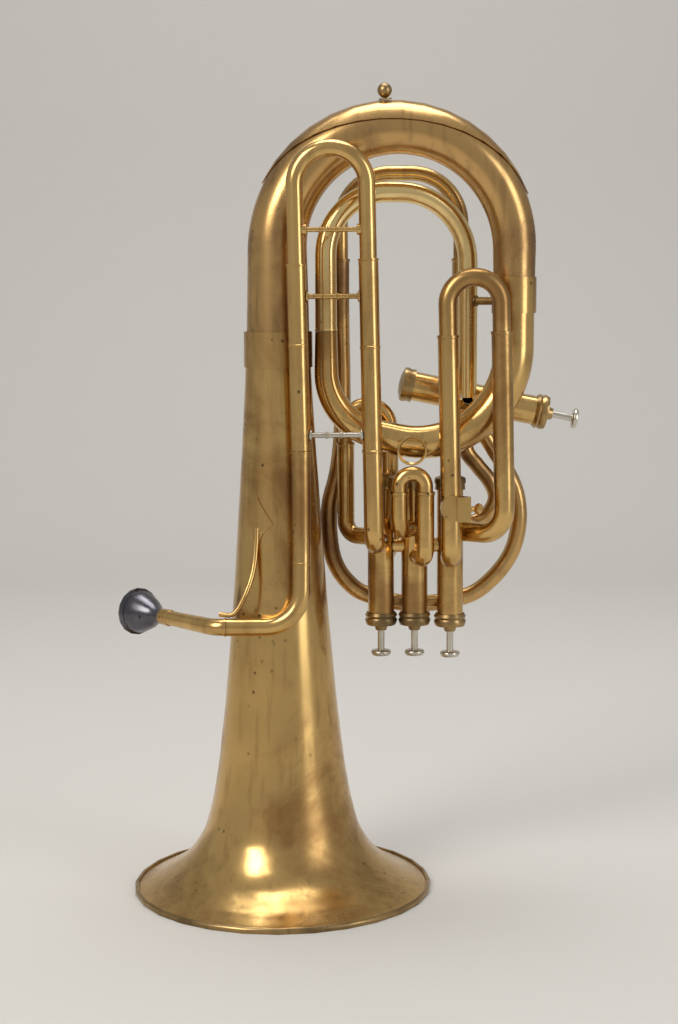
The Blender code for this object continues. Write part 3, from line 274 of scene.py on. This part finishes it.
# %% Patina masks


def link(tree, source, target):
    """Join two sockets."""
    tree.links.new(source, target)


def patina_group():
    """Node group with the masks that every metal shares."""
    group = bpy.data.node_groups.new("patina_masks", "ShaderNodeTree")
    group.interface.new_socket("Cloud Size", in_out="INPUT", socket_type="NodeSocketFloat")
    group.interface.new_socket("Seed", in_out="INPUT", socket_type="NodeSocketFloat")
    for name in ("Clouds", "Streaks", "Spots"):
        group.interface.new_socket(name, in_out="OUTPUT", socket_type="NodeSocketFloat")
    nodes = group.nodes
    enter = nodes.new("NodeGroupInput")
    leave = nodes.new("NodeGroupOutput")
    place = nodes.new("ShaderNodeTexCoord")
    clouds = nodes.new("ShaderNodeTexNoise")
    clouds.noise_dimensions = "4D"
    clouds.inputs["Detail"].default_value = 7.0
    clouds.inputs["Roughness"].default_value = 0.62
    clouds.inputs["Distortion"].default_value = 0.6
    link(group, place.outputs["Object"], clouds.inputs["Vector"])
    link(group, enter.outputs["Cloud Size"], clouds.inputs["Scale"])
    link(group, enter.outputs["Seed"], clouds.inputs["W"])
    shape = nodes.new("ShaderNodeMapRange")
    shape.interpolation_type = "SMOOTHSTEP"
    shape.inputs["From Min"].default_value = 0.46
    shape.inputs["From Max"].default_value = 0.66
    link(group, clouds.outputs["Fac"], shape.inputs["Value"])
    link(group, shape.outputs["Result"], leave.inputs["Clouds"])
    stretch = nodes.new("ShaderNodeMapping")
    stretch.inputs["Scale"].default_value = (90.0, 90.0, 9.0)
    link(group, place.outputs["Object"], stretch.inputs["Vector"])
    streaks = nodes.new("ShaderNodeTexNoise")
    streaks.inputs["Scale"].default_value = 1.6
    streaks.inputs["Detail"].default_value = 5.0
    link(group, stretch.outputs["Vector"], streaks.inputs["Vector"])
    link(group, streaks.outputs["Fac"], leave.inputs["Streaks"])
    spots = nodes.new("ShaderNodeTexVoronoi")
    spots.inputs["Scale"].default_value = 95.0
    link(group, place.outputs["Object"], spots.inputs["Vector"])
    spot_shape = nodes.new("ShaderNodeMapRange")
    spot_shape.inputs["From Min"].default_value = 0.16
    spot_shape.inputs["From Max"].default_value = 0.07
    link(group, spots.outputs["Distance"], spot_shape.inputs["Value"])
    sparse = nodes.new("ShaderNodeTexNoise")
    sparse.inputs["Scale"].default_value = 17.0
    link(group, place.outputs["Object"], sparse.inputs["Vector"])
    sparse_shape = nodes.new("ShaderNodeMapRange")
    sparse_shape.inputs["From Min"].default_value = 0.52
    sparse_shape.inputs["From Max"].default_value = 0.60
    link(group, sparse.outputs["Fac"], sparse_shape.inputs["Value"])
    both = nodes.new("ShaderNodeMath")
    both.operation = "MULTIPLY"
    link(group, spot_shape.outputs["Result"], both.inputs[0])
    link(group, sparse_shape.outputs["Result"], both.inputs[1])
    link(group, both.outputs["Value"], leave.inputs["Spots"])
    return group


PATINA = patina_group()


def mixed(tree, factor, first, second):
    """Mix node of two colours; each may be a socket or a colour."""
    mix = tree.nodes.new("ShaderNodeMix")
    mix.data_type = "RGBA"
    link(tree, factor, mix.inputs["Factor"])
    for socket, value in ((mix.inputs["A"], first), (mix.inputs["B"], second)):
        if isinstance(value, tuple):
            socket.default_value = (*value, 1.0)
        else:
            link(tree, value, socket)
    return mix.outputs["Result"]


def scaled(tree, source, amount):
    """A mask times a number."""
    times = tree.nodes.new("ShaderNodeMath")
    times.operation = "MULTIPLY"
    times.inputs[1].default_value = amount
    link(tree, source, times.inputs[0])
    return times.outputs["Value"]


def metal(name, clean, brown, spot, clouds=0.75, roughness=0.2, rough_more=0.16, size=9.0, seed=0.0):
    """Metal with its patina; rougher where it is brown."""
    material = bpy.data.materials.new(name)
    material.use_nodes = True
    tree = material.node_tree
    shader = tree.nodes["Principled BSDF"]
    masks = tree.nodes.new("ShaderNodeGroup")
    masks.node_tree = PATINA
    masks.inputs["Cloud Size"].default_value = size
    masks.inputs["Seed"].default_value = seed
    colour = mixed(tree, scaled(tree, masks.outputs["Clouds"], clouds), clean, brown)
    streaky = tree.nodes.new("ShaderNodeMapRange")
    streaky.inputs["From Min"].default_value = 0.52
    streaky.inputs["From Max"].default_value = 0.72
    streaky.inputs["To Max"].default_value = 0.45 * clouds
    link(tree, masks.outputs["Streaks"], streaky.inputs["Value"])
    colour = mixed(tree, streaky.outputs["Result"], colour, brown)
    colour = mixed(tree, scaled(tree, masks.outputs["Spots"], 0.8), colour, spot)
    link(tree, colour, shader.inputs["Base Color"])
    shader.inputs["Metallic"].default_value = 1.0
    rough = tree.nodes.new("ShaderNodeMapRange")
    rough.inputs["To Min"].default_value = roughness
    rough.inputs["To Max"].default_value = roughness + rough_more
    link(tree, masks.outputs["Clouds"], rough.inputs["Value"])
    link(tree, rough.outputs["Result"], shader.inputs["Roughness"])
    bump = tree.nodes.new("ShaderNodeBump")
    bump.inputs["Strength"].default_value = 0.06
    bump.inputs["Distance"].default_value = 0.0004
    link(tree, masks.outputs["Streaks"], bump.inputs["Height"])
    link(tree, bump.outputs["Normal"], shader.inputs["Normal"])
    return material


METALS = {
    "brass": metal("aged_brass", (0.66, 0.43, 0.16), (0.27, 0.14, 0.05), (0.05, 0.03, 0.02), 0.85),
    "bright": metal("bright_brass", (0.88, 0.66, 0.30), (0.50, 0.30, 0.11), (0.09, 0.05, 0.02), 0.5, 0.16),
    "bow": metal("brown_brass", (0.58, 0.36, 0.14), (0.19, 0.10, 0.05), (0.05, 0.03, 0.02), 0.9, 0.24),
    "dark": metal("dark_brass", (0.42, 0.28, 0.12), (0.12, 0.08, 0.04), (0.03, 0.02, 0.01), 0.9, 0.28),
    "nickel": metal("nickel_silver", (0.62, 0.58, 0.50), (0.28, 0.22, 0.15), (0.06, 0.04, 0.03), 0.5, 0.22),
    "tarnish": metal("tarnished_silver", (0.20, 0.19, 0.20), (0.05, 0.05, 0.07), (0.02, 0.02, 0.02),
                     0.8, 0.15),
}
print("materials", sorted(METALS))


def dress(obj, node, body, look):
    """Put a smooth piece in a CAD node's place: material, body and stand-in."""
    obj.data.materials.clear()
    obj.data.materials.append(METALS[look])
    smooth(obj)
    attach(obj, body)
    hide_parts(node)
    return obj


# %% [markdown]
# Every tube of the table is swept with the same number of sides. Tubes that meet a valve are cut to sit on
# its casing, by a cylinder that is thrown away afterwards. VALVES gives each valve's base, the way it is
# pressed and its casing's radius, and SEATED says which valves a tube meets.

# %% Smooth tubes
TUBE_SIDES = 40
TUBE_SKIN = 0.0004
SEAT_SIDES = 64
SEAT_LENGTH = 0.124
UPRIGHT = Vector((0, 0, 1))
FOURTH_TILT = math.radians(11.7)
FOURTH_PUSH = Vector((-math.cos(FOURTH_TILT), 0, math.sin(FOURTH_TILT)))
CASING_R = 0.01065
VALVES = (
    (Vector((0.0820, 0.0, 0.2189)), UPRIGHT, CASING_R),
    (Vector((0.1092, 0.0, 0.2189)), UPRIGHT, CASING_R),
    (Vector((0.1381, 0.0, 0.2176)), UPRIGHT, CASING_R),
    (Vector((0.2191, 0.0305, 0.3886)), FOURTH_PUSH, 0.0119),
)
SEATED = {
    "inner_bow": (3,), "tuning_receiver_right": (0,), "slide_1_receiver_left": (0,),
    "slide_1_receiver_right": (0,), "slide_2_receiver_left": (1,), "slide_2_receiver_right": (1,),
    "slide_3_receiver_left": (2,), "slide_3_receiver_right": (2,), "slide_4_receiver_right": (3,),
    "slide_4_loop": (3,), "valve_link_tube": (2, 3),
}
MOVING = {"tuning_slide": "tuning_slide_body", "slide_1": "slide_1_body", "slide_2": "slide_2_body",
          "slide_3": "slide_3_body", "slide_4": "slide_4_body"}


def seat_cutter(index):
    """Cylinder that fills one valve's casing."""
    base, push, radius = VALVES[index]
    mesh = bpy.data.meshes.new(f"seat_{index}")
    form = bmesh.new()
    bmesh.ops.create_cone(form, cap_ends=True, segments=SEAT_SIDES, radius1=radius, radius2=radius,
                          depth=SEAT_LENGTH)
    form.to_mesh(mesh)
    form.free()
    obj = bpy.data.objects.new(f"seat_{index}", mesh)
    bpy.context.scene.collection.objects.link(obj)
    centre = base + push * SEAT_LENGTH / 2 + SHIFT
    obj.matrix_world = Matrix.Translation(centre) @ push.to_track_quat("Z", "Y").to_matrix().to_4x4()
    obj.hide_render = True
    return obj


seats = [seat_cutter(index) for index in range(len(VALVES))]
for name, kind, ends, collars, corners in TUBES:
    points = bent(corners) if kind == "round" else flowing(corners)
    placed = ringed(points, lambda share: ends[0] + (ends[1] - ends[0]) * share, collars)
    piece = walled(sweep("smooth_" + name, placed, TUBE_SIDES), TUBE_SKIN)
    for index in SEATED.get(name, ()):
        cut = piece.modifiers.new("seat", "BOOLEAN")
        cut.operation = "DIFFERENCE"
        cut.object = seats[index]
        bpy.context.view_layer.update()
        bake(piece)
    if name == "inner_bow":
        look = "bright"
    elif name in ("slide_4_loop", "valve_link_tube"):
        look = "bow"
    else:
        look = "brass"
    dress(piece, name, MOVING.get(name, "horn"), look)
for seat in seats:
    bpy.data.objects.remove(seat)
print("swept", len(TUBES))

# %% [markdown]
# The tuning slide's brace is part of the CAD node that the smooth slide stands for, so it is made here too.
# Each step of its outline is a distance from the left leg's axis and a radius: feet, rod and two collars.

# %% Tuning slide brace
BRACE_START = Vector((0.01522, -0.037, 0.5365))
BRACE_SIDES = 24
BRACE = (
    (0.0, 0.0045), (0.0084, 0.0045), (0.0088, 0.0019), (0.0184, 0.0019), (0.0189, 0.0026), (0.0201, 0.0026),
    (0.0206, 0.0019), (0.0309, 0.0019), (0.0314, 0.0026), (0.0326, 0.0026), (0.0331, 0.0019),
    (0.0475, 0.0019), (0.0479, 0.0045), (0.0563, 0.0045),
)
brace_places = [(BRACE_START + Vector((reach, 0.0, 0.0)), radius) for reach, radius in BRACE]
tuning_brace = walled(sweep("smooth_tuning_brace", brace_places, BRACE_SIDES), TUBE_SKIN)
dress(tuning_brace, "tuning_slide", "tuning_slide_body", "brass")
print("brace", len(tuning_brace.data.polygons))

# %% [markdown]
# The bell and the two conical bows carry the horn's outline, so they have the most sides of all. BELL lists
# the bell's outer side from the bow end down: a height and a radius each.

# %% Bell and bows
BELL_SIDES = 128
BELL_SHEET = 0.0007
BOW_SIDES = 64
BOTTOM_SIDES = 56
BOW_SHEET = 0.0008
BELL = (
    (0.4425, 0.0257), (0.4287, 0.0263), (0.3877, 0.0284), (0.3415, 0.0313), (0.2754, 0.0357),
    (0.2391, 0.0383), (0.1811, 0.0433), (0.1560, 0.0456), (0.1309, 0.0485), (0.1056, 0.0515),
    (0.0803, 0.0557), (0.0680, 0.0585), (0.0548, 0.0620), (0.0470, 0.0650), (0.0400, 0.0690),
    (0.0335, 0.0733), (0.0280, 0.0780), (0.0225, 0.0838), (0.0180, 0.0900), (0.0138, 0.0967),
    (0.0100, 0.1030), (0.0072, 0.1090), (0.0046, 0.1148), (0.0030, 0.1190),
)


def eased(outline, count):
    """Put extra points on an outline, on a smooth curve through its points."""
    dense = flowing([(radius, 0.0, height) for height, radius in outline], count)
    return [(point.x, point.z) for point in dense]


bell = walled(spin("smooth_bell", eased(BELL, 4), BELL_SIDES), BELL_SHEET)
bell.data.transform(Matrix.Translation(SHIFT))
dress(bell, "bell", "horn", "brass")
BOW_R = 0.09445
BOW_Z = 0.5223
bow_line = bent([(0, 0, 0.4428, 0), (0, 0, BOW_Z + BOW_R, BOW_R), (2 * BOW_R, 0, BOW_Z + BOW_R, BOW_R),
                 (2 * BOW_R, 0, 0.4855, 0)], 3.0)
bow_places = ringed(bow_line, lambda share: 0.0254 - 0.0091 * share)
bow = walled(sweep("smooth_bell_bow", bow_places, BOW_SIDES), BOW_SHEET)
dress(bow, "bell_bow", "horn", "bow")
low_line = bent([(0.0385, 0, 0.4568, 0), (0.0385, 0, 0.3845, 0.052), (2 * BOW_R, 0, 0.3462, 0.075),
                 (2 * BOW_R, 0, 0.4852, 0)], 4.0)
low_places = ringed(low_line, lambda share: 0.0088 + 0.0075 * math.sin(math.pi / 2 * share) ** 1.25)
low = walled(sweep("smooth_bottom_bow", low_places, BOTTOM_SIDES), BOW_SHEET)
dress(low, "bottom_bow", "horn", "brass")
print("bell", len(bell.data.polygons), "bow", len(bow.data.polygons))

# %% [markdown]
# The pieces that stay as CAD are welded and shaded smoothly by modifiers, which leave their vertices alone.

# %% CAD pieces that show
LOOKS = {"bell_rim": "dark", "rest_knob": "dark", "mouthpiece": "tarnish", "tuning_brace_lower": "nickel",
         "bow_guard": "bow", "inner_bow_brace": "dark"}
for name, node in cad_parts.items():
    if node.hide_render:
        continue
    look = LOOKS.get(name, "brass")
    if name.endswith(("stem", "spring", "piston")):
        look = "nickel"
    if name.endswith("cap"):
        look = "dark"
    node.data.materials.clear()
    node.data.materials.append(METALS[look])
    weld = node.modifiers.new("weld", "WELD")
    weld.merge_threshold = 1e-5
    for polygon in node.data.polygons:
        polygon.use_smooth = True
    sharp = node.modifiers.new("sharp", "EDGE_SPLIT")
    sharp.split_angle = math.radians(50)
print("CAD pieces shown", sum(not node.hide_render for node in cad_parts.values()))

# %% [markdown]
# The camera was solved from the bell rim's ellipse and the upright tubes of the photograph. It stands 1.5 m
# in front, a little above the middle, and looks slightly down.

# %% Camera and stage
scene = bpy.context.scene
lens = bpy.data.cameras.new("camera")
lens.sensor_fit = "AUTO"
lens.sensor_width = 36.0
lens.lens = 65.64
camera = bpy.data.objects.new("camera", lens)
scene.collection.objects.link(camera)
CAMERA_PLACE = Vector((0.0481, -1.502, 0.4931))
PITCH_DOWN = 6.907
ROLL = -0.292
camera.location = CAMERA_PLACE + SHIFT
turn = Euler((math.radians(90 - PITCH_DOWN), 0, 0)).to_matrix() @ Matrix.Rotation(math.radians(ROLL), 3, "Z")
camera.rotation_euler = turn.to_euler()
scene.camera = camera
scene.view_settings.view_transform = "Standard"

paper = bpy.data.materials.new("paper")
paper.use_nodes = True
paper_shader = paper.node_tree.nodes["Principled BSDF"]
paper_shader.inputs["Base Color"].default_value = (0.62, 0.60, 0.57, 1.0)
paper_shader.inputs["Roughness"].default_value = 0.9
paper_shader.inputs["Specular IOR Level"].default_value = 0.1
mesh = bpy.data.meshes.new("sweep")
FLOOR_FRONT = -3.0
FLOOR_BACK = 1.6
CURVE_R = 0.8
WALL_TOP = 4.0
HALF_WIDTH = 4.0
outline = [(FLOOR_FRONT, 0.0), (FLOOR_BACK, 0.0)]
for degrees in range(10, 91, 10):
    angle = math.radians(degrees)
    outline.append((FLOOR_BACK + CURVE_R * math.sin(angle), CURVE_R - CURVE_R * math.cos(angle)))
outline.append((FLOOR_BACK + CURVE_R, WALL_TOP))
vertices = [(x, y, z) for y, z in outline for x in (-HALF_WIDTH, HALF_WIDTH)]
faces = [(2 * i, 2 * i + 1, 2 * i + 3, 2 * i + 2) for i in range(len(outline) - 1)]
mesh.from_pydata(vertices, [], faces)
sweep_floor = bpy.data.objects.new("backdrop", mesh)
sweep_floor.data.materials.append(paper)
sweep_floor.data.shade_smooth()
scene.collection.objects.link(sweep_floor)


def area(name, place, target, width, height, power, colour=(1.0, 1.0, 1.0)):
    """Softbox that faces a target."""
    light = bpy.data.lights.new(name, "AREA")
    light.shape = "RECTANGLE"
    light.size = width
    light.size_y = height
    light.energy = power
    light.color = colour
    obj = bpy.data.objects.new(name, light)
    scene.collection.objects.link(obj)
    obj.location = place
    obj.rotation_euler = (Vector(target) - Vector(place)).to_track_quat("-Z", "Y").to_euler()
    return obj


area("key", (-1.3, -1.5, 1.7), (0, 0, 0.3), 0.9, 1.4, 26, (1.0, 0.97, 0.92))
area("fill", (1.7, -1.2, 0.9), (0, 0, 0.3), 0.8, 1.6, 11, (0.95, 0.97, 1.0))
area("top", (0.1, 0.3, 2.2), (0, 0, 0.3), 1.2, 1.2, 18)
area("wall", (0.0, 0.6, 2.4), (0.0, 2.4, 0.8), 2.0, 0.8, 10)
world = bpy.data.worlds.new("studio")
scene.world = world
world.use_nodes = True
world.node_tree.nodes["Background"].inputs["Color"].default_value = (0.86, 0.85, 0.83, 1.0)
world.node_tree.nodes["Background"].inputs["Strength"].default_value = 0.50
